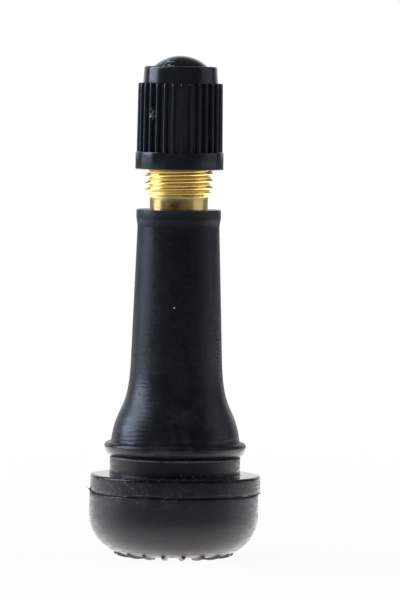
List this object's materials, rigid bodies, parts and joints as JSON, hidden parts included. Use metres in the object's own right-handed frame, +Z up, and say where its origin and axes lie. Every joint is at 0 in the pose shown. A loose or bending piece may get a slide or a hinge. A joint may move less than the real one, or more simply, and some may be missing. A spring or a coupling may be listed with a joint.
{
  "type": "tyre valve",
  "caption": "Snap-in rubber tyre valve on a brass stem, with a screw-on ribbed cap and a spring-loaded valve core that is pressed open to fill or empty a tubeless tyre.",
  "frame": {"origin": "on the valve's axis, at the tips of the raised bars under the base that the valve stands on", "axes": "+Z up along the valve's axis from the base to the cap; +X through the middle of one raised bar"},
  "size_m": [0.0194, 0.0194, 0.0572],
  "materials": {
    "body_rubber": "satin moulded black rubber, greyer on the base",
    "stem_brass": "turned brass with dull olive staining in the thread",
    "cap_plastic": "semi-gloss moulded black plastic",
    "seal_rubber": "matte black rubber",
    "core_brass": "bright turned brass",
    "ring_polymer": "matte red fluoropolymer",
    "spring_steel": "drawn spring wire"
  },
  "bodies": {
    "valve": {"rubber_body": "body_rubber", "brass_stem": "stem_brass", "core_plug": "core_brass", "core_barrel": "core_brass", "core_barrel_seal": "ring_polymer", "core_spring": "spring_steel"},
    "pin": {"core_pin": "core_brass", "core_cup": "core_brass", "core_cup_seal": "seal_rubber"},
    "washer": {"cap_seal": "seal_rubber"},
    "cap": {"cap_shell": "cap_plastic"}
  },
  "joints": [
    {"name": "pin_press", "type": "slide", "parent": "valve", "child": "pin", "axis": [0, 0, -1], "range_m": [0, 0.0015], "stiffness_N_per_m": 900, "springref_m": -0.0025, "deforming": ["core_spring"]},
    {"name": "cap_lift", "type": "slide", "parent": "valve", "child": "washer", "axis": [0, 0, 1], "range_m": [0, 0.00476]},
    {"name": "cap_turn", "type": "hinge", "parent": "washer", "child": "cap", "pos_m": [0, 0, 0.04424], "axis": [0, 0, 1], "range_deg": [0, 2160]}
  ],
  "couplings": [
    {"joint": "cap_turn", "follows": "cap_lift", "rad_per_m": 7915.8}
  ]
}
